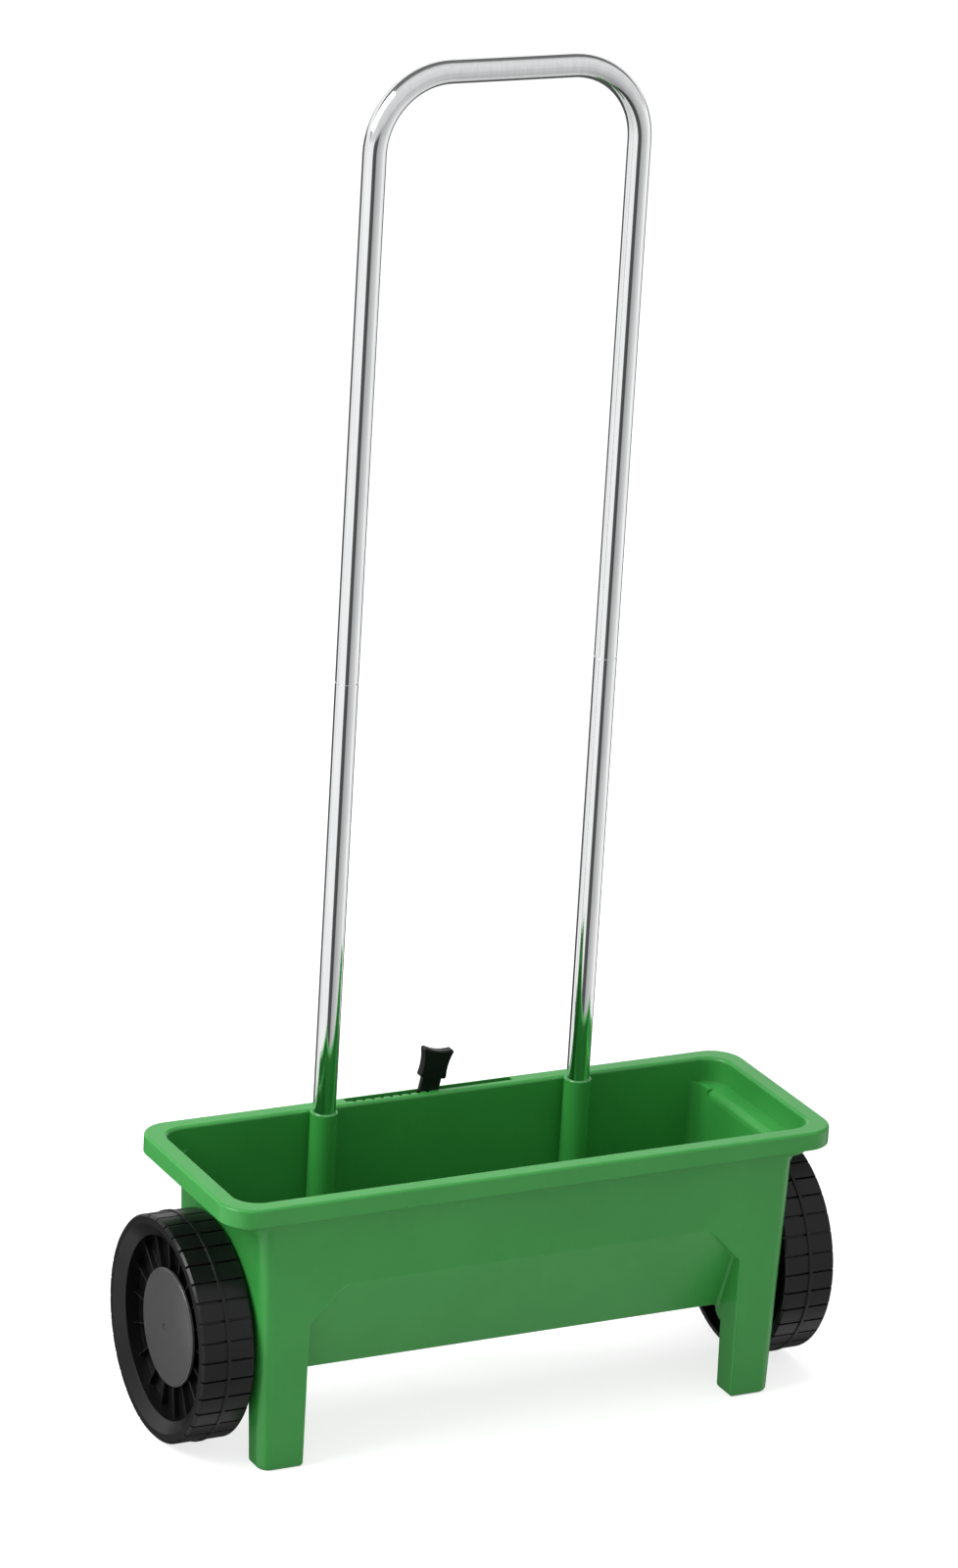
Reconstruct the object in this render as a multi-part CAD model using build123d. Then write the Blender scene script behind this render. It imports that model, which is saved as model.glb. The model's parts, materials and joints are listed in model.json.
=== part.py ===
from build123d import *
import math
import os

os.makedirs("parts", exist_ok=True)

# Hopper: a green moulding with a turned-down rim, a short collar that is longer than the box below it,
# a trough that narrows to a flat floor, and two front legs. Lengths are in millimetres.
rim_z = 246.0
rim_length = 576.0
rim_width = 204.0
rim_corner = 28.0
rim_round = 2.5
lip_round = 3.0
skirt_depth = 16.0
wall = 3.0
end_draft = 2.2
rear_draft = 1.0
front_lean = 0.2
rim_end_shelf = 14.0
rim_side_shelf = 13.5
shoulder = 20.5
box_corner = 11.0
collar_depth = 25.0
collar_corner = 24.0
shoulder_round = 7.0
flare_round = 16.0
flare_inset = 2.0
flare_steps = 6
knee_drop = 83.3
floor_drop = 39.5
floor_shift = 4.0
floor_half = 28.0
floor_round = 5.0
sill_rise = 16.0
sill_shift = 9.0
sill_round = 3.0

# Front legs, solid: the plain front wall runs down to the ground either side of a chamfered window
leg_root_width = 81.5
leg_head_width = 48.5
leg_head_drop = 33.5
leg_thick = 24.0
leg_back_lean = 2.0
leg_sweep = 14.0
foot_round = 4.0
window_round = 2.0
root_round = 3.0

# Axle line and wheels
axle_y = 10.0
wheel_radius = 98.5
axle_radius = 5.0
running_gap = 0.05
fit_gap = 0.03
wheel_width = 48.0
wheel_shell = 3.5
tread_drop = 1.0
ridge_width = 3.0
groove_count = 36
groove_width = 2.0
groove_depth = 2.6
tread_round = 2.0
face_outer_r = 89.5
dish_r = 79.0
dish_depth = 7.0
web_depth = 20.0
web_thick = 3.0
rib_count = 18
rib_thick = 1.4
rib_depth = 14.5
rib_inner_r = 28.0
back_rib_count = 9
back_rib_thick = 2.0
back_rib_inset = 5.0
hub_radius = 16.0
hub_length = 47.9

# Hub cap
cap_radius = 51.0
cap_depth = 11.0
cap_thick = 2.5
cap_dome = 2.5
cap_round = 1.0
dimple_radius = 4.0
dimple_depth = 1.0
cap_ring_out = 25.0
cap_ring_in = 22.0

# Axle furniture
axle_inset = 14.0
boss_radius = 17.0
boss_depth = 7.4
boss_proud = 1.2
bush_radius = 8.0
bush_flange_radius = 12.5
bush_flange = 2.0
bush_nose = 4.0
side_gap = 0.3
washer_radius = 10.0
washer_thick = 2.0
nut_radius = 9.0
nut_thick = 2.0
pin_radius = 2.0
pin_half = 13.0
pin_gap = 0.1
pin_inset = 5.8
axle_chamfer = 0.8

# Stirrers on the axle
stirrer_count = 3
stirrer_radius = 9.0
stirrer_end_gap = 20.0
stirrer_gap = 6.0
paddle_count = 4
paddle_gap = 6.0
paddle_width = 16.0
paddle_thick = 3.0
paddle_turn = 45.0

# Handle tubes and their sockets in the rear wall
tube_radius = 10.0
tube_wall = 0.5
tube_x = 122.5
tube_inset = 15.0
bow_z = 1154.0
bow_bend = 66.0
joint_z = 635.0
joint_gap = 1.2
spigot_length = 60.0
socket_wall = 2.0
socket_rise = 2.0
socket_depth = 82.0
socket_screw_drop = 39.0
screw_radius = 2.0
screw_head_radius = 4.0
screw_head = 2.4
screw_reach = 4.5

# Dosing lever, its slot in the rear rim and its pivot post
slot_width = 6.6
slot_length = 161.0
slot_end_gap = 2.0
slot_gap = 0.8
tooth_pitch = 8.8
tooth_depth = 3.4
tooth_count = 9
tooth_inset = 5.0
lever_lean = 10.6
lever_back_swing = 24.0
pivot_x = -42.5
pivot_rise = 25.0
lever_thick = 5.0
lever_width = 18.0
lever_hub_radius = 12.0
lever_tail_spare = 5.8
lever_tail_width = 19.0
post_radius = 9.0
post_gap = 0.4
post_web = 4.0
post_web_rise = 61.0
pivot_shoulder_radius = 4.0
pivot_thread_radius = 3.0
pivot_thread_length = 22.8
pivot_head_radius = 7.5
pivot_head = 2.0
pivot_washer_radius = 9.0
pivot_washer = 1.0
fork_gap = 0.8
fork_depth = 13.0

# Grip on the lever: waisted, with a hollow top edge
grip_clear = 11.6
grip_length = 28.5
grip_socket = 20.5
grip_top_width = 32.0
grip_waist_width = 24.0
grip_low_width = 26.0
grip_waist_rise = 9.5
grip_sag = 3.4
grip_thick = 9.0
grip_round = 2.0
grip_edge = 1.2

# Shutter below the trough floor, its rails and the outlet row
outlet_shift = 6.0
outlet_radius = 5.5
shutter_thick = 2.0
shutter_half = 13.0
shutter_inset = 10.0
shutter_gap = 0.2
shutter_shift = -8.8
tab_half = 9.0
ear_thick = 3.0
ear_gap = 4.2
ear_reach = 7.0
drive_radius = 3.0
drive_proud = 1.8
rail_half = 18.5
rail_lip_in = 9.5
rail_lip = 2.0
rail_inset = 20.0
rail_break = 84.0
rail_screw_inset = 15.0
rail_screw_radius = 1.5
rail_screw_head_radius = 2.6
rail_screw_head = 2.0

# Heights and depths of the hopper that follow from the sizes above
axle_z = wheel_radius
beyond = 2.0 * rim_length
side_y = rim_width / 2
collar_length = rim_length - 2 * rim_end_shelf
collar_z = rim_z - collar_depth
box_length = collar_length - 2 * shoulder
box_width = rim_width - 2 * rim_side_shelf
knee_z = rim_z - knee_drop
end_run = math.tan(math.radians(end_draft))
rear_run = math.tan(math.radians(rear_draft))
front_run = math.tan(math.radians(front_lean))
front_knee_y = -box_width / 2 - knee_drop * front_run
rear_knee_y = box_width / 2 - knee_drop * rear_run
floor_z = axle_z - floor_drop
floor_y = axle_y + floor_shift
window_top_half = box_length / 2 - leg_root_width
window_half = box_length / 2 - leg_head_width
window_corner_z = knee_z - leg_head_drop
leg_back_y = leg_thick - box_width / 2
sweep_y = leg_back_y + leg_back_lean
sill_y = leg_back_y + sill_shift
sill_z = floor_z + sill_rise
sweep_z = sill_z - leg_sweep
centre_y = (axle_y + wheel_radius - side_y) / 2

# Places along the axle, from the end wall outwards
end_x = box_length / 2 - (rim_z - axle_z) * end_run
boss_in_x = end_x - boss_depth
boss_out_x = end_x + boss_proud
bush_in_x = boss_in_x - bush_nose
washer_x = boss_out_x + bush_flange + side_gap
hub_end_x = washer_x + washer_thick + side_gap
wheel_out_x = hub_end_x + hub_length
drive_pin_x = hub_end_x + pin_inset
axle_end_x = wheel_out_x - axle_inset
nut_x = wheel_out_x - web_depth + side_gap
stirrer_pitch = 2 * (bush_in_x - stirrer_end_gap) / stirrer_count
stirrer_half = (stirrer_pitch - stirrer_gap) / 2
paddle_pitch = stirrer_pitch / paddle_count
paddle_reach = floor_drop - wall - paddle_gap

# Places of the handle, the lever and the shutter
tube_y = box_width / 2 - tube_inset
spigot_radius = tube_radius - tube_wall - fit_gap
socket_top_z = rim_z + socket_rise
socket_floor_z = rim_z - socket_depth
socket_screw_z = rim_z - socket_screw_drop
screw_in_y = tube_y + screw_reach
screw_seat_y = box_width / 2 - socket_screw_drop * rear_run + side_gap
slot_thick = 2.0 * rim_round
slot_y_to = side_y - wall
slot_y_from = slot_y_to - slot_width
lever_y_from = slot_y_from + slot_gap
lever_y_to = lever_y_from + lever_thick
pivot_z = floor_z + pivot_rise
lever_rise = rim_z - pivot_z
back_lean = math.radians(lever_lean - lever_back_swing)
lever_back_x = pivot_x + lever_rise * math.tan(back_lean)
slot_x_from = lever_back_x - lever_width / (2 * math.cos(back_lean)) - slot_end_gap
grip_low = lever_rise / math.cos(math.radians(lever_lean)) + grip_clear
grip_high = grip_low + grip_length
grip_waist = grip_low + grip_waist_rise
lever_top = grip_low + grip_socket
post_end_y = lever_y_from - post_gap
pivot_thread_y = post_end_y - pivot_thread_length
shutter_z = floor_z - shutter_gap - shutter_thick
drive_z = shutter_z + shutter_thick / 2
drive_reach = pivot_z - drive_z
drive_x = pivot_x - drive_reach * math.tan(math.radians(lever_lean))
lever_tail = drive_reach + lever_tail_spare
ear_y_to = lever_y_from - ear_gap
drive_end_y = lever_y_to + drive_proud
outlet_y = axle_y + outlet_shift
rail_end = box_length / 2 - rail_inset
shutter_end = rail_end - shutter_inset
rail_z = shutter_z - shutter_gap


def along_x(sketch, x_from, x_to):
    return extrude(Plane.YZ.offset(x_from) * sketch, amount=x_to - x_from, dir=(1, 0, 0))


def along_y(sketch, y_from, y_to):
    return extrude(Plane.XZ.offset(-y_from) * sketch, amount=y_to - y_from, dir=(0, 1, 0))


def along_z(sketch, z_from, z_to):
    return extrude(Plane.XY.offset(z_from) * sketch, amount=z_to - z_from, dir=(0, 0, 1))


def shape(*points):
    return Polygon(*points, align=None)


def block(x_from, x_to, y_from, y_to, z_from, z_to):
    size = (x_to - x_from, y_to - y_from, z_to - z_from)
    return Pos(x_from, y_from, z_from) * Box(*size, align=(Align.MIN, Align.MIN, Align.MIN))


def rod_x(radius, x_from, x_to, y, z):
    return along_x(Pos(y, z) * Circle(radius), x_from, x_to)


def rod_y(radius, y_from, y_to, x, z):
    return along_y(Pos(x, z) * Circle(radius), y_from, y_to)


def rod_z(radius, z_from, z_to, x, y):
    return along_z(Pos(x, y) * Circle(radius), z_from, z_to)


def ring_x(outer, inner, x_from, x_to):
    return rod_x(outer, x_from, x_to, axle_y, axle_z) - rod_x(inner, x_from, x_to, axle_y, axle_z)


def both_sides(x):
    return (-x, x)


def picked(part, test):
    return [e for e in part.edges() if test(e.center())]


def tapered(length, inset, corner):
    top_x = length / 2 - inset
    foot_x = top_x - rim_z * end_run
    top_y = box_width / 2 - inset
    rear_foot = top_y - rim_z * rear_run
    front_foot = -top_y - rim_z * front_run
    front_view = shape((-top_x, rim_z), (top_x, rim_z), (foot_x, 0), (-foot_x, 0))
    side_view = shape((-top_y, rim_z), (top_y, rim_z), (rear_foot, 0), (front_foot, 0))
    solid = along_y(front_view, -rim_width, rim_width) & along_x(side_view, -rim_length, rim_length)
    return fillet(picked(solid, lambda c: wall < c.Z < rim_z - wall), corner)


def on_front(point):
    return abs(point.Y + box_width / 2 + (rim_z - point.Z) * front_run) < fit_gap


def save(part, name, colour):
    part = Pos(0, -centre_y, 0) * part
    part.label = name
    part.color = Color(*colour)
    export_step(part, "parts/" + name + ".step")


green = (0.10, 0.36, 0.12)
bright = (0.80, 0.81, 0.82)
black = (0.02, 0.02, 0.02)
zinc = (0.60, 0.61, 0.62)

# Hopper body: the tapered box, kept only where the trough or the legs are
box_outer = tapered(box_length, 0, box_corner)
box_inner = tapered(box_length, wall, box_corner - wall)
front_slope = (knee_z - sill_z) / (sill_y - front_knee_y)
rear_slope = (knee_z - floor_z) / (rear_knee_y - floor_y - floor_half)
trough_section = shape(
    (-side_y, beyond),
    (-side_y, knee_z + front_slope * (side_y + front_knee_y)),
    (sill_y, sill_z),
    (floor_y - floor_half, floor_z),
    (floor_y + floor_half, floor_z),
    (side_y, knee_z + rear_slope * (side_y - rear_knee_y)),
    (side_y, beyond),
)
trough_outer = along_x(trough_section, -rim_length, rim_length)
trough_inner = along_x(offset(trough_section, -wall, kind=Kind.INTERSECTION), -rim_length, rim_length)
window = shape(
    (-window_half, 0),
    (-window_half, window_corner_z),
    (-window_top_half, knee_z),
    (window_top_half, knee_z),
    (window_half, window_corner_z),
    (window_half, 0),
)
front_panel = Pos(0, rim_z / 2) * Rectangle(rim_length, rim_z) - window
leg_outline = [
    Polyline((sweep_y, sweep_z), (leg_back_y, 0), (-side_y, 0), (-side_y, knee_z), (axle_y, knee_z)),
    Polyline((axle_y, knee_z), (axle_y, sill_z), (sweep_y + leg_sweep, sill_z)),
    RadiusArc((sweep_y + leg_sweep, sill_z), (sweep_y, sweep_z), leg_sweep),
]
leg_depth = along_x(make_face(leg_outline), -rim_length, rim_length)
legs = along_y(front_panel, -side_y, axle_y) & leg_depth
below_collar = block(-rim_length, rim_length, -side_y, side_y, 0, collar_z + wall)
body = box_outer & (trough_outer + legs) & below_collar
body = fillet(picked(body, lambda c: abs(c.X) < wall and abs(c.Z - sill_z) < fit_gap), sill_round)
inner = picked(body, lambda c: window_top_half < abs(c.X) < window_half + fit_gap and c.Z > floor_z)
inner = [e for e in inner if abs(e.center().Z - window_corner_z) > wall]
body = fillet([e for e in inner if not on_front(e.center())], root_round)
outline = picked(body, lambda c: abs(c.X) < window_half + fit_gap and 0 < c.Z < knee_z + fit_gap)
body = fillet([e for e in outline if on_front(e.center())], window_round)
body = fillet(picked(body, lambda c: abs(c.X) < wall and abs(c.Z - floor_z) < fit_gap), floor_round)
body = fillet(picked(body, lambda c: abs(c.Z) < fit_gap), foot_round)
cavity = box_inner & trough_inner

# Collar and rim, with a swept flare under the ends of the collar and a rounded ledge inside each end
collar_full = tapered(collar_length, 0, collar_corner)
collar_outer = collar_full - block(-rim_length, rim_length, -side_y, side_y, 0, collar_z)
collar_hole = tapered(collar_length, wall, collar_corner - wall)
ledge_z = collar_z + wall
collar_inner = collar_hole - block(-rim_length, rim_length, -side_y, side_y, 0, ledge_z)
flare_rings = []
for i in range(flare_steps + 1):
    turn = math.pi / 2 * i / flare_steps
    z = collar_z - flare_round * (1 - math.sin(turn))
    reach = flare_round * (1 - math.cos(turn))
    corner = box_corner + (collar_corner - box_corner) * reach / flare_round
    size = (box_length + 2 * (reach - (rim_z - z) * end_run), box_width - 2 * flare_inset)
    flare_rings.append(Plane.XY.offset(z) * RectangleRounded(*size, corner))
collar_outer += loft(flare_rings, ruled=True)
ledge_x = box_length / 2 - wall - (rim_z - ledge_z) * end_run
ledge_y = box_width / 2 - collar_corner
ledge = Pos(-wall, -shoulder_round) * Rectangle(
    shoulder_round + wall, shoulder_round + wall, align=(Align.MIN, Align.MIN)
)
ledge -= Pos(shoulder_round, -shoulder_round) * Circle(shoulder_round)
for turn in (Rot(), Rot(Z=180)):
    cavity += turn * along_y(Pos(ledge_x, ledge_z) * ledge, -ledge_y, ledge_y)
rim = along_z(RectangleRounded(rim_length, rim_width, rim_corner), rim_z - skirt_depth, rim_z)
rim = fillet(rim.edges().group_by(Axis.Z)[-1], rim_round)
under_rim = along_z(
    RectangleRounded(rim_length - 2 * wall, rim_width - 2 * wall, rim_corner - wall),
    rim_z - skirt_depth,
    rim_z - wall,
)
rim = rim - under_rim + collar_outer - collar_inner
lip = [e for e in rim.edges().group_by(Axis.Z)[-1] if abs(e.center().X) < collar_length / 2]
lip = [e for e in lip if abs(e.center().Y) < box_width / 2]
rim = fillet(lip, lip_round)

# Sockets for the handle tubes, with a blind bore each
sockets = Part()
bores = Part()
for x in both_sides(tube_x):
    sockets += rod_z(tube_radius + socket_wall, socket_floor_z - wall, socket_top_z, x, tube_y)
    bores += rod_z(tube_radius + running_gap, socket_floor_z, socket_top_z, x, tube_y)
    bores += rod_y(screw_radius + fit_gap, tube_y, side_y, x, socket_screw_z) & box_outer
hopper = body + rim - cavity - collar_inner
hopper = hopper + (sockets & trough_outer) - bores

# Bearing bosses in the end walls, the pivot post at the back and the outlet row
for x_from, x_to in ((-boss_out_x, -boss_in_x), (boss_in_x, boss_out_x)):
    hopper += rod_x(boss_radius, x_from, x_to, axle_y, axle_z)
    hopper -= rod_x(bush_radius + fit_gap, x_from, x_to, axle_y, axle_z)
post = rod_y(post_radius, axle_y, post_end_y, pivot_x, pivot_z)
web_x = (pivot_x - post_web / 2, pivot_x + post_web / 2)
post += block(*web_x, axle_y, post_end_y - lever_thick, pivot_z, pivot_z + post_web_rise)
hopper += post - trough_inner
hopper -= rod_y(pivot_thread_radius + fit_gap, pivot_thread_y, post_end_y, pivot_x, pivot_z)
outlet_count = stirrer_count * paddle_count
outlets = [(i + 0.5 - outlet_count / 2) * paddle_pitch for i in range(outlet_count)]
for x in outlets:
    hopper -= rod_z(outlet_radius, floor_z, floor_z + wall, x, outlet_y)

# Rails below the floor: one at the front, two at the back either side of the shutter's tab
screw_row = (rail_half + shutter_half) / 2
rails = (
    ("front", -1, -rail_end, rail_end),
    ("rear_left", 1, -rail_end, drive_x - rail_break / 2),
    ("rear_right", 1, drive_x + rail_break / 2, rail_end),
)
rail_screws = {}
for name, side, x_from, x_to in rails:
    places = (x_from + rail_screw_inset, (x_from + x_to) / 2, x_to - rail_screw_inset)
    rail_screws[name] = [(x, outlet_y + side * screw_row) for x in places]
    for x, y in rail_screws[name]:
        hopper -= rod_z(rail_screw_radius + fit_gap, floor_z, floor_z + wall - 2 * side_gap, x, y)

# Lever slot in the rear rim, toothed along its front edge
slot_z = rim_z - slot_thick
hopper -= block(slot_x_from, slot_x_from + slot_length, slot_y_from, slot_y_to, slot_z, rim_z)
tooth = shape((0, 0), (tooth_pitch / 2, 0), (tooth_pitch / 4, -tooth_depth))
for i in range(tooth_count):
    x = slot_x_from + tooth_inset + i * tooth_pitch
    hopper -= along_z(Pos(x, slot_y_from) * tooth, slot_z, rim_z)
save(hopper, "hopper", green)

# Lower handle tubes, each with a reduced spigot at its upper end
for name, x in (("left", -tube_x), ("right", tube_x)):
    tube = rod_z(tube_radius, socket_floor_z, joint_z, x, tube_y)
    tube += rod_z(spigot_radius, joint_z, joint_z + spigot_length, x, tube_y)
    tube -= rod_z(tube_radius - tube_wall, socket_floor_z, joint_z - tube_radius, x, tube_y)
    tube -= rod_z(spigot_radius - tube_wall, socket_floor_z, joint_z + spigot_length, x, tube_y)
    tube -= rod_y(screw_radius + fit_gap, tube_y, tube_y + tube_radius, x, socket_screw_z)
    save(tube, "handle_tube_" + name, bright)
    screw = rod_y(screw_radius, screw_in_y, screw_seat_y, x, socket_screw_z)
    head = rod_y(screw_head_radius, screw_seat_y, screw_seat_y + screw_head, x, socket_screw_z)
    head = fillet(head.edges().sort_by(Axis.Y)[-1], screw_head / 2)
    save(screw + head, "socket_screw_" + name, zinc)

# Upper handle bow: one bent tube slipped over both spigots
bow_foot_z = joint_z + joint_gap
bow_line = FilletPolyline(
    (-tube_x, tube_y, bow_foot_z),
    (-tube_x, tube_y, bow_z),
    (tube_x, tube_y, bow_z),
    (tube_x, tube_y, bow_foot_z),
    radius=bow_bend,
)
ring = Circle(tube_radius) - Circle(tube_radius - tube_wall)
bow = sweep(Plane(origin=(-tube_x, tube_y, bow_foot_z), z_dir=(0, 0, 1)) * ring, path=bow_line)
save(bow, "handle_bow", bright)

# Wheel about the X axis, outer face at zero, hub side towards plus X
tread_radius = wheel_radius - tread_drop
ridge_from = (wheel_width - ridge_width) / 2
ridge_to = ridge_from + ridge_width
shell_radius = tread_radius - wheel_shell - groove_depth
web_back = web_depth + web_thick
wheel_section = shape(
    (0, face_outer_r),
    (0, tread_radius - tread_round),
    (tread_round, tread_radius),
    (ridge_from, tread_radius),
    (ridge_from, wheel_radius),
    (ridge_to, wheel_radius),
    (ridge_to, tread_radius),
    (wheel_width - tread_round, tread_radius),
    (wheel_width, tread_radius - tread_round),
    (wheel_width, shell_radius),
    (wheel_shell, shell_radius),
    (wheel_shell, face_outer_r),
    (dish_depth + wheel_shell, dish_r + wheel_shell),
    (web_back, dish_r + wheel_shell),
    (web_back, hub_radius),
    (hub_length, hub_radius),
    (hub_length, axle_radius + running_gap),
    (web_depth, axle_radius + running_gap),
    (web_depth, dish_r),
    (dish_depth, dish_r),
)
wheel = revolve(Plane.XY * wheel_section, Axis.X)
half_rib = rib_thick / 2
rib = block(rib_depth, web_depth, rib_inner_r, dish_r + wheel_shell / 2, -half_rib, half_rib)
wheel += [Rot(X=i * 360 / rib_count) * rib for i in range(rib_count)]
half_rib = back_rib_thick / 2
rib_x = (web_back - web_thick / 2, wheel_width - back_rib_inset)
back_rib = block(*rib_x, hub_radius - web_thick, shell_radius + wheel_shell / 2, -half_rib, half_rib)
wheel += [Rot(X=(i + 0.5) * 360 / back_rib_count) * back_rib for i in range(back_rib_count)]
groove_low = tread_radius - groove_depth
half_groove = groove_width / 2
grooves = []
for i in range(groove_count):
    turn = Rot(X=(i + 0.5) * 360 / groove_count)
    for x_from, x_to in ((-wheel_width, ridge_from), (ridge_to, 2 * wheel_width)):
        grooves.append(turn * block(x_from, x_to, groove_low, wheel_radius, -half_groove, half_groove))
wheel -= grooves
slot_from = hub_length - pin_inset - pin_radius - pin_gap
slot_half = pin_radius + pin_gap
slot_reach = pin_half + pin_gap
pin_slot = block(slot_from, hub_length, -slot_half, slot_half, -slot_reach, slot_reach)
at_left = Pos(-wheel_out_x, axle_y, axle_z)
save(at_left * (wheel - pin_slot), "wheel_left", black)
save(mirror(at_left * wheel, about=Plane.YZ), "wheel_right", black)

# Hub cap: a domed disc with a seating ring
cap_back = cap_depth + cap_thick
cap_section = shape((cap_depth, 0), (cap_depth, cap_radius), (cap_back, cap_radius), (cap_back, 0))
cap = revolve(Plane.XY * cap_section, Axis.X)
cap = fillet(cap.edges().group_by(Axis.X)[0], cap_round)
dome_radius = (cap_radius**2 + cap_dome**2) / (2 * cap_dome)
dome_reach = cap_radius - 2 * cap_round
dome_x = cap_depth - cap_dome
dome = along_x(Circle(dome_reach), dome_x, cap_depth)
cap += dome & Pos(dome_x + dome_radius, 0, 0) * Sphere(dome_radius)
cap += along_x(Circle(cap_ring_out) - Circle(cap_ring_in), cap_back, web_depth)
cap -= along_x(Circle(dimple_radius), dome_x, dome_x + dimple_depth)
save(at_left * cap, "hub_cap_left", black)
save(mirror(at_left * cap, about=Plane.YZ), "hub_cap_right", black)

# Axle with its cross pin, bushes, washers and push nuts
axle = rod_x(axle_radius, -axle_end_x, axle_end_x, axle_y, axle_z)
axle -= rod_z(pin_radius + fit_gap, axle_z - pin_half, axle_z + pin_half, -drive_pin_x, axle_y)
axle = chamfer(axle.edges().group_by(Axis.X)[0] + axle.edges().group_by(Axis.X)[-1], axle_chamfer)
save(axle, "axle", zinc)
save(rod_z(pin_radius, axle_z - pin_half, axle_z + pin_half, -drive_pin_x, axle_y), "wheel_drive_pin", zinc)
bush = ring_x(bush_radius, axle_radius + running_gap, -boss_out_x, -bush_in_x)
bush += ring_x(bush_flange_radius, axle_radius + running_gap, -boss_out_x - bush_flange, -boss_out_x)
washer = ring_x(washer_radius, axle_radius + running_gap, -washer_x - washer_thick, -washer_x)
nut = ring_x(nut_radius, axle_radius + fit_gap, -nut_x - nut_thick, -nut_x)
furniture = (("axle_bush", bush, black), ("axle_washer", washer, zinc), ("push_nut", nut, zinc))
for kind, part, colour in furniture:
    save(part, kind + "_left", colour)
    save(mirror(part, about=Plane.YZ), kind + "_right", colour)

# Stirrers: sleeves on the axle, each with crossed paddles turned on from row to row
for i, name in enumerate(("left", "centre", "right")):
    x = (i - (stirrer_count - 1) / 2) * stirrer_pitch
    stirrer = rod_x(stirrer_radius, x - stirrer_half, x + stirrer_half, axle_y, axle_z)
    for row in range(paddle_count):
        arm = Box(paddle_width, 2 * paddle_reach, paddle_thick)
        arm += Rot(X=90) * arm
        row_x = x + (row - (paddle_count - 1) / 2) * paddle_pitch
        stirrer += Pos(row_x, axle_y, axle_z) * Rot(X=paddle_turn * row) * arm
    stirrer -= rod_x(axle_radius + fit_gap, x - stirrer_half, x + stirrer_half, axle_y, axle_z)
    save(stirrer, "stirrer_" + name, black)

# Dosing lever: drawn upright about its pivot, then leaned over
fork_half = drive_radius + fork_gap
lever_face = Circle(lever_hub_radius)
lever_face += Pos(0, lever_top / 2) * Rectangle(lever_width, lever_top)
lever_face += Pos(0, -lever_tail / 2) * Rectangle(lever_tail_width, lever_tail)
lever_face -= Circle(pivot_shoulder_radius + running_gap)
lever_face -= Pos(0, -lever_tail) * Rectangle(2 * fork_half, 2 * fork_depth)
lean = Pos(pivot_x, 0, pivot_z) * Rot(Y=lever_lean)
save(lean * along_y(lever_face, lever_y_from, lever_y_to), "dosing_lever", black)

# Grip: waisted outline with a hollow top edge, pushed over the lever's end
half_low = grip_low_width / 2
half_waist = grip_waist_width / 2
half_top = grip_top_width / 2
grip_line = [
    Line((half_low, grip_low), (-half_low, grip_low)),
    Spline((-half_low, grip_low), (-half_waist, grip_waist), (-half_top, grip_high)),
    ThreePointArc((-half_top, grip_high), (0, grip_high - grip_sag), (half_top, grip_high)),
    Spline((half_top, grip_high), (half_waist, grip_waist), (half_low, grip_low)),
]
grip_face = make_face(grip_line)
grip_face = fillet(grip_face.vertices(), grip_round)
grip_mid_y = (lever_y_from + lever_y_to) / 2
grip = along_y(grip_face, grip_mid_y - grip_thick / 2, grip_mid_y + grip_thick / 2)
grip = fillet(grip.edges().group_by(Axis.Y)[0] + grip.edges().group_by(Axis.Y)[-1], grip_edge)
pocket = Pos(0, lever_top / 2) * Rectangle(lever_width + 2 * fit_gap, lever_top + 2 * fit_gap)
grip -= along_y(pocket, lever_y_from - fit_gap, lever_y_to + fit_gap)
save(lean * grip, "lever_grip", black)

# Pivot screw with a washer under its head
washer_y = lever_y_to + side_gap
head_y = washer_y + pivot_washer
pivot = rod_y(pivot_thread_radius, pivot_thread_y, post_end_y, pivot_x, pivot_z)
pivot += rod_y(pivot_shoulder_radius, post_end_y, head_y, pivot_x, pivot_z)
pivot += rod_y(pivot_head_radius, head_y, head_y + pivot_head, pivot_x, pivot_z)
save(pivot, "pivot_screw", zinc)
pivot_ring = Circle(pivot_washer_radius) - Circle(pivot_shoulder_radius + running_gap)
save(along_y(Pos(pivot_x, pivot_z) * pivot_ring, washer_y, head_y), "pivot_washer", zinc)

# Shutter: a holed strip with a tab to the back, an upright ear and the drive pin
shutter_top = shutter_z + shutter_thick
tab_x = (drive_x - tab_half, drive_x + tab_half)
strip_y = (outlet_y - shutter_half, outlet_y + shutter_half)
shutter = block(-shutter_end, shutter_end, *strip_y, shutter_z, shutter_top)
for x in outlets:
    shutter -= rod_z(outlet_radius, shutter_z, shutter_top, x + shutter_shift, outlet_y)
shutter += block(*tab_x, outlet_y + shutter_half, ear_y_to, shutter_z, shutter_top)
shutter += block(*tab_x, ear_y_to - ear_thick, ear_y_to, drive_z - ear_reach, drive_z + ear_reach)
shutter -= rod_y(drive_radius + fit_gap, ear_y_to - ear_thick, ear_y_to, drive_x, drive_z)
save(shutter, "shutter_plate", black)
save(rod_y(drive_radius, ear_y_to - ear_thick, drive_end_y, drive_x, drive_z), "shutter_drive_pin", zinc)

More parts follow.
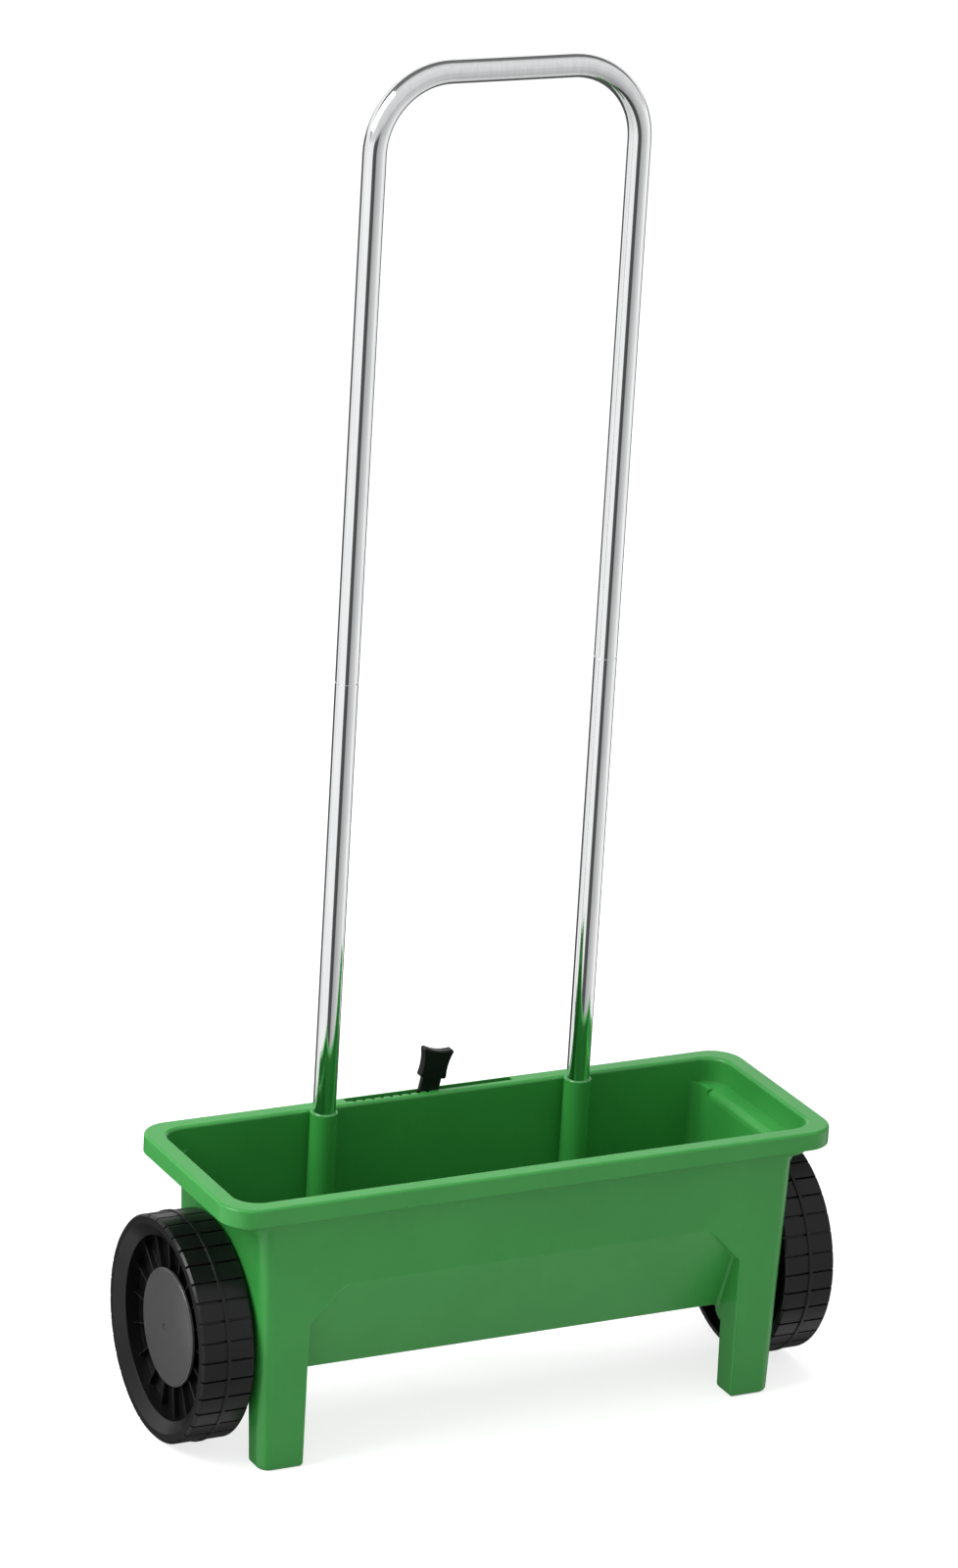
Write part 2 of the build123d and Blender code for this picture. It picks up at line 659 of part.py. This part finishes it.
# Guide rails with a lip under the shutter, and their screws
lip_z = rail_z - rail_lip
rail_section = shape(
    (rail_half, floor_z),
    (rail_half, lip_z),
    (rail_lip_in, lip_z),
    (rail_lip_in, rail_z),
    (shutter_half + shutter_gap, rail_z),
    (shutter_half + shutter_gap, floor_z),
)
front_section = mirror(rail_section, about=Plane.YZ)
for name, side, x_from, x_to in rails:
    section = rail_section if side > 0 else front_section
    rail = along_x(Pos(outlet_y, 0) * section, x_from, x_to)
    screws = Part()
    for x, y in rail_screws[name]:
        rail -= rod_z(rail_screw_radius + fit_gap, lip_z, floor_z, x, y)
        screws += rod_z(rail_screw_radius, lip_z, floor_z + wall - 3 * side_gap, x, y)
        screws += rod_z(rail_screw_head_radius, lip_z - rail_screw_head, lip_z, x, y)
    save(rail, "guide_rail_" + name, black)
    save(screws, "rail_screws_" + name, zinc)
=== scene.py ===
import json
import math

import bpy
from mathutils import Matrix, Vector

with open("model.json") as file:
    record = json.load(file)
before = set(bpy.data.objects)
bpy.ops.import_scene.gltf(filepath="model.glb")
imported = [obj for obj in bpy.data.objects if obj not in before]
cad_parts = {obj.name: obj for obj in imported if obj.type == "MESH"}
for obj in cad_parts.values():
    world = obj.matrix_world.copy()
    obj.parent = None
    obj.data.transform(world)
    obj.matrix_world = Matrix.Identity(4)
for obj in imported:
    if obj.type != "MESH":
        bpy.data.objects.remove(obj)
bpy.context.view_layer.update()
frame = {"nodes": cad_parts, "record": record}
scene = bpy.context.scene
nodes = frame["nodes"]

# Camera: its place in metres and its view directions in the part's frame, and its focal length and
# the offset of its optical centre in pixels of an image of that height
image_h = 1600
focal_px = 6354.57
centre_px = (13.15, -132.23)
cam_at = Vector((-2.32072, -4.37487, 2.25004))
cam_right = Vector((0.89228, -0.44786, 0.05710))
cam_down = Vector((-0.08806, -0.29668, -0.95091))
cam_ahead = Vector((0.44281, 0.84345, -0.30416))
sensor = 36.0
clip_near = 0.1
clip_far = 200.0

cam_data = bpy.data.cameras.new("camera")
cam_data.sensor_fit = "AUTO"
cam_data.sensor_width = sensor
cam_data.lens = focal_px * sensor / image_h
cam_data.shift_x = -centre_px[0] / image_h
cam_data.shift_y = centre_px[1] / image_h
cam_data.clip_start = clip_near
cam_data.clip_end = clip_far
cam = bpy.data.objects.new("camera", cam_data)
scene.collection.objects.link(cam)
turn = Matrix((cam_right, -cam_down, -cam_ahead)).transposed().to_4x4()
cam.matrix_world = Matrix.Translation(cam_at) @ turn
scene.camera = cam


# Values that all materials share: noise scales per metre, the stops between dark and light,
# and the radius in metres by which shading softens the edges of plastic
noise_rough = 0.55
cloud_scale = 9.0
worn_scale = 30.0
grain_scale = 1400.0
wave_scale = 14.0
mix_from = 0.3
mix_to = 0.7
coat_rough = 0.08
plastic_edge = 0.0008
bevel_samples = 4


# Helpers for shader nodes
def new_material(name):
    mat = bpy.data.materials.new(name)
    mat.use_nodes = True
    tree = mat.node_tree
    tree.nodes.clear()
    out = tree.nodes.new("ShaderNodeOutputMaterial")
    return mat, tree, out


def add(tree, kind, **sockets):
    node = tree.nodes.new(kind)
    for key, value in sockets.items():
        node.inputs[key].default_value = value
    return node


def maths(tree, operation, *values):
    node = tree.nodes.new("ShaderNodeMath")
    node.operation = operation
    for socket, value in zip(node.inputs, values):
        if isinstance(value, (int, float)):
            socket.default_value = value
        else:
            tree.links.new(value, socket)
    return node.outputs[0]


def noise(tree, coords, scale, detail, stretch=(1, 1, 1)):
    place = add(tree, "ShaderNodeMapping", Scale=stretch)
    tree.links.new(coords, place.inputs["Vector"])
    tex = add(tree, "ShaderNodeTexNoise", Scale=scale, Detail=detail, Roughness=noise_rough)
    tree.links.new(place.outputs["Vector"], tex.inputs["Vector"])
    return tex.outputs["Fac"]


def ramp(tree, fac, stops):
    node = tree.nodes.new("ShaderNodeValToRGB")
    items = node.color_ramp.elements
    while len(items) < len(stops):
        items.new(1.0)
    for item, (place, colour) in zip(items, stops):
        item.position = place
        item.color = (*colour, 1.0)
    tree.links.new(fac, node.inputs["Fac"])
    return node.outputs["Color"]


def span(tree, value, low, high, start=0.0, end=1.0):
    node = tree.nodes.new("ShaderNodeMapRange")
    for key, number in (("From Min", start), ("From Max", end), ("To Min", low), ("To Max", high)):
        node.inputs[key].default_value = number
    tree.links.new(value, node.inputs["Value"])
    return node.outputs["Result"]


def bumped(tree, shader, layers, edge):
    normal = None
    if edge > 0:
        soft = add(tree, "ShaderNodeBevel", Radius=edge)
        soft.samples = bevel_samples
        normal = soft.outputs["Normal"]
    for height, depth in layers:
        node = add(tree, "ShaderNodeBump", Strength=1.0, Distance=depth)
        tree.links.new(height, node.inputs["Height"])
        if normal is not None:
            tree.links.new(normal, node.inputs["Normal"])
        normal = node.outputs["Normal"]
    tree.links.new(normal, shader.inputs["Normal"])


# Moulded plastic: faint clouds in the colour, a fine grain and a slow wave in the surface
def plastic(name, dark, light, rough, grain, wave, spec=0.5, coat=0.0):
    mat, tree, out = new_material(name)
    coords = tree.nodes.new("ShaderNodeTexCoord").outputs["Object"]
    shader = add(tree, "ShaderNodeBsdfPrincipled")
    shader.inputs["Specular IOR Level"].default_value = spec
    shader.inputs["Coat Weight"].default_value = coat
    shader.inputs["Coat Roughness"].default_value = coat_rough
    cloud = noise(tree, coords, cloud_scale, detail=4.0)
    worn = noise(tree, coords, worn_scale, detail=5.0)
    fine = noise(tree, coords, grain_scale, detail=2.0)
    slow = noise(tree, coords, wave_scale, detail=1.0)
    colour = ramp(tree, cloud, ((mix_from, dark), (mix_to, light)))
    tree.links.new(colour, shader.inputs["Base Color"])
    tree.links.new(span(tree, worn, *rough), shader.inputs["Roughness"])
    bumped(tree, shader, ((fine, grain), (slow, wave)), plastic_edge)
    tree.links.new(shader.outputs["BSDF"], out.inputs["Surface"])
    return mat


# Metal: streaks that vary colour, gloss and surface together
def metal(name, dark, light, rough, stretch, scale, grain, edge=0.0):
    mat, tree, out = new_material(name)
    coords = tree.nodes.new("ShaderNodeTexCoord").outputs["Object"]
    shader = add(tree, "ShaderNodeBsdfPrincipled", Metallic=1.0)
    streak = noise(tree, coords, scale, detail=4.0, stretch=stretch)
    colour = ramp(tree, streak, ((mix_from, dark), (mix_to, light)))
    tree.links.new(colour, shader.inputs["Base Color"])
    tree.links.new(span(tree, streak, *rough), shader.inputs["Roughness"])
    bumped(tree, shader, ((streak, grain),), edge)
    tree.links.new(shader.outputs["BSDF"], out.inputs["Surface"])
    return mat


# Looks by material slot: colours, range of roughness, and depths of grain and wave in metres
plastics = {
    "hopper_green": {
        "dark": (0.036, 0.285, 0.050),
        "light": (0.044, 0.320, 0.058),
        "rough": (0.28, 0.36),
        "grain": 0.00003,
        "wave": 0.0004,
        "spec": 0.45,
    },
    "wheel_black": {
        "dark": (0.0035, 0.0035, 0.0040),
        "light": (0.0060, 0.0060, 0.0066),
        "rough": (0.26, 0.36),
        "grain": 0.00004,
        "wave": 0.0003,
        "spec": 0.32,
    },
    "cap_black": {
        "dark": (0.050, 0.050, 0.051),
        "light": (0.060, 0.060, 0.061),
        "rough": (0.16, 0.26),
        "grain": 0.00001,
        "wave": 0.0003,
        "coat": 0.3,
    },
    "lever_black": {
        "dark": (0.0035, 0.0035, 0.0040),
        "light": (0.0055, 0.0055, 0.0060),
        "rough": (0.30, 0.40),
        "grain": 0.00004,
        "wave": 0.0001,
        "spec": 0.3,
    },
    "inner_black": {
        "dark": (0.012, 0.012, 0.013),
        "light": (0.020, 0.020, 0.021),
        "rough": (0.42, 0.55),
        "grain": 0.00004,
        "wave": 0.0001,
    },
}
metals = {
    "tube_bright": {
        "dark": (0.80, 0.81, 0.82),
        "light": (0.90, 0.905, 0.91),
        "rough": (0.06, 0.11),
        "stretch": (1, 1, 0.06),
        "scale": 260.0,
        "grain": 0.000006,
    },
    "steel_zinc": {
        "dark": (0.46, 0.47, 0.48),
        "light": (0.60, 0.61, 0.62),
        "rough": (0.26, 0.42),
        "stretch": (1, 1, 1),
        "scale": 160.0,
        "grain": 0.00003,
        "edge": 0.0003,
    },
}
by_slot = {slot: plastic(slot, **look) for slot, look in plastics.items()}
by_slot.update({slot: metal(slot, **look) for slot, look in metals.items()})
for piece in frame["record"]["subparts"]:
    mesh = nodes[piece["node"]].data
    for i in range(len(mesh.materials)):
        mesh.materials[i] = by_slot[piece["material_slot"]]

# Floor: white to the camera, with the object's shadow left in it
floor_half = 40.0
floor_pale = (0.8, 0.8, 0.8, 1)
floor_seen = (0.5, 0.5, 0.5, 1)
floor_glow = 0.76
full_white = (1, 1, 1, 1)
mat, tree, out = new_material("floor_white")
ray = tree.nodes.new("ShaderNodeLightPath")
pale = add(tree, "ShaderNodeBsdfDiffuse", Color=floor_pale)
seen = add(tree, "ShaderNodeBsdfDiffuse", Color=floor_seen)
glow = add(tree, "ShaderNodeEmission", Color=full_white, Strength=floor_glow)
both = tree.nodes.new("ShaderNodeAddShader")
pick = tree.nodes.new("ShaderNodeMixShader")
tree.links.new(seen.outputs[0], both.inputs[0])
tree.links.new(glow.outputs[0], both.inputs[1])
tree.links.new(ray.outputs["Is Camera Ray"], pick.inputs["Fac"])
tree.links.new(pale.outputs[0], pick.inputs[1])
tree.links.new(both.outputs[0], pick.inputs[2])
tree.links.new(pick.outputs[0], out.inputs["Surface"])
mesh = bpy.data.meshes.new("floor")
around_floor = ((-1, -1), (1, -1), (1, 1), (-1, 1))
corners = [(x * floor_half, y * floor_half, 0) for x, y in around_floor]
mesh.from_pydata(corners, [], [(0, 1, 2, 3)])
mesh.materials.append(mat)
floor = bpy.data.objects.new("floor", mesh)
scene.collection.objects.link(floor)
floor.visible_glossy = False

# World: soft even light. Mirrored surfaces see upright panels below the horizon, as brightness by
# azimuth in degrees from the front, and an arch above it, by angle in degrees from the back over
# the top to the front.
full_turn = 360.0
half_turn = 180.0
bands = (
    (-180, 0.08),
    (-146, 0.10),
    (-140, 1.0),
    (-127, 1.0),
    (-124, 0.78),
    (-118, 0.78),
    (-115, 1.0),
    (-44, 1.0),
    (-40, 0.10),
    (-10, 0.07),
    (-6, 0.42),
    (30, 0.62),
    (58, 0.78),
    (66, 1.0),
    (104, 1.0),
    (112, 0.12),
)
ceiling = (
    (0, 1.0),
    (29, 1.0),
    (37, 0.14),
    (76, 0.18),
    (92, 0.72),
    (120, 0.82),
    (180, 0.70),
)
fill_strength = 0.5
horizon_blend = 0.06
floor_dim = 0.75
dim_from = -0.75
dim_to = -0.35
world = bpy.data.worlds.new("studio")
scene.world = world
world.use_nodes = True
tree = world.node_tree
tree.nodes.clear()
out = tree.nodes.new("ShaderNodeOutputWorld")
ray = tree.nodes.new("ShaderNodeLightPath")
fill = add(tree, "ShaderNodeBackground", Color=full_white, Strength=fill_strength)
white = add(tree, "ShaderNodeBackground", Color=full_white, Strength=1.0)
shown = tree.nodes.new("ShaderNodeBackground")
split = tree.nodes.new("ShaderNodeSeparateXYZ")
tree.links.new(tree.nodes.new("ShaderNodeTexCoord").outputs["Generated"], split.inputs[0])
forward = maths(tree, "MULTIPLY", split.outputs["Y"], -1.0)
azimuth = maths(tree, "ARCTAN2", split.outputs["X"], forward)
around = span(tree, azimuth, 0.0, 1.0, -math.pi, math.pi)
panels = ramp(tree, around, [(0.5 + angle / full_turn, (v, v, v)) for angle, v in bands])
tree.links.new(panels, shown.inputs["Color"])
dimmed = span(tree, split.outputs["Z"], floor_dim, 1.0, dim_from, dim_to)
tree.links.new(dimmed, shown.inputs["Strength"])
overhead = maths(tree, "ARCTAN2", split.outputs["Z"], split.outputs["Y"])
height = span(tree, overhead, 0.0, 1.0, 0.0, math.pi)
above = add(tree, "ShaderNodeBackground", Strength=1.0)
arch = ramp(tree, height, [(angle / half_turn, (v, v, v)) for angle, v in ceiling])
tree.links.new(arch, above.inputs["Color"])
mix_height = tree.nodes.new("ShaderNodeMixShader")
risen = span(tree, split.outputs["Z"], 0.0, 1.0, -horizon_blend, horizon_blend)
tree.links.new(risen, mix_height.inputs["Fac"])
tree.links.new(shown.outputs[0], mix_height.inputs[1])
tree.links.new(above.outputs[0], mix_height.inputs[2])
mix_glossy = tree.nodes.new("ShaderNodeMixShader")
tree.links.new(ray.outputs["Is Glossy Ray"], mix_glossy.inputs["Fac"])
tree.links.new(fill.outputs[0], mix_glossy.inputs[1])
tree.links.new(mix_height.outputs[0], mix_glossy.inputs[2])
mix_camera = tree.nodes.new("ShaderNodeMixShader")
tree.links.new(ray.outputs["Is Camera Ray"], mix_camera.inputs["Fac"])
tree.links.new(mix_glossy.outputs[0], mix_camera.inputs[1])
tree.links.new(white.outputs[0], mix_camera.inputs[2])
tree.links.new(mix_camera.outputs[0], out.inputs["Surface"])


# Lamps: a key lamp from the left, and a weaker one above that mirrored surfaces do not see
def lamp(name, at, aim, size, power, mirrored):
    data = bpy.data.lights.new(name, "AREA")
    data.shape = "SQUARE"
    data.size = size
    data.energy = power
    obj = bpy.data.objects.new(name, data)
    obj.location = at
    obj.visible_glossy = mirrored
    obj.rotation_mode = "QUATERNION"
    obj.rotation_quaternion = (Vector(aim) - Vector(at)).to_track_quat("-Z", "Y")
    scene.collection.objects.link(obj)


lamp_aim = (0, 0, 0.3)
lamp("key", at=(-2.6, 0.2, 2.6), aim=lamp_aim, size=2.2, power=112.0, mirrored=True)
lamp("top", at=(0.3, 0.8, 3.4), aim=lamp_aim, size=2.6, power=40.0, mirrored=False)

scene.view_settings.view_transform = "Standard"
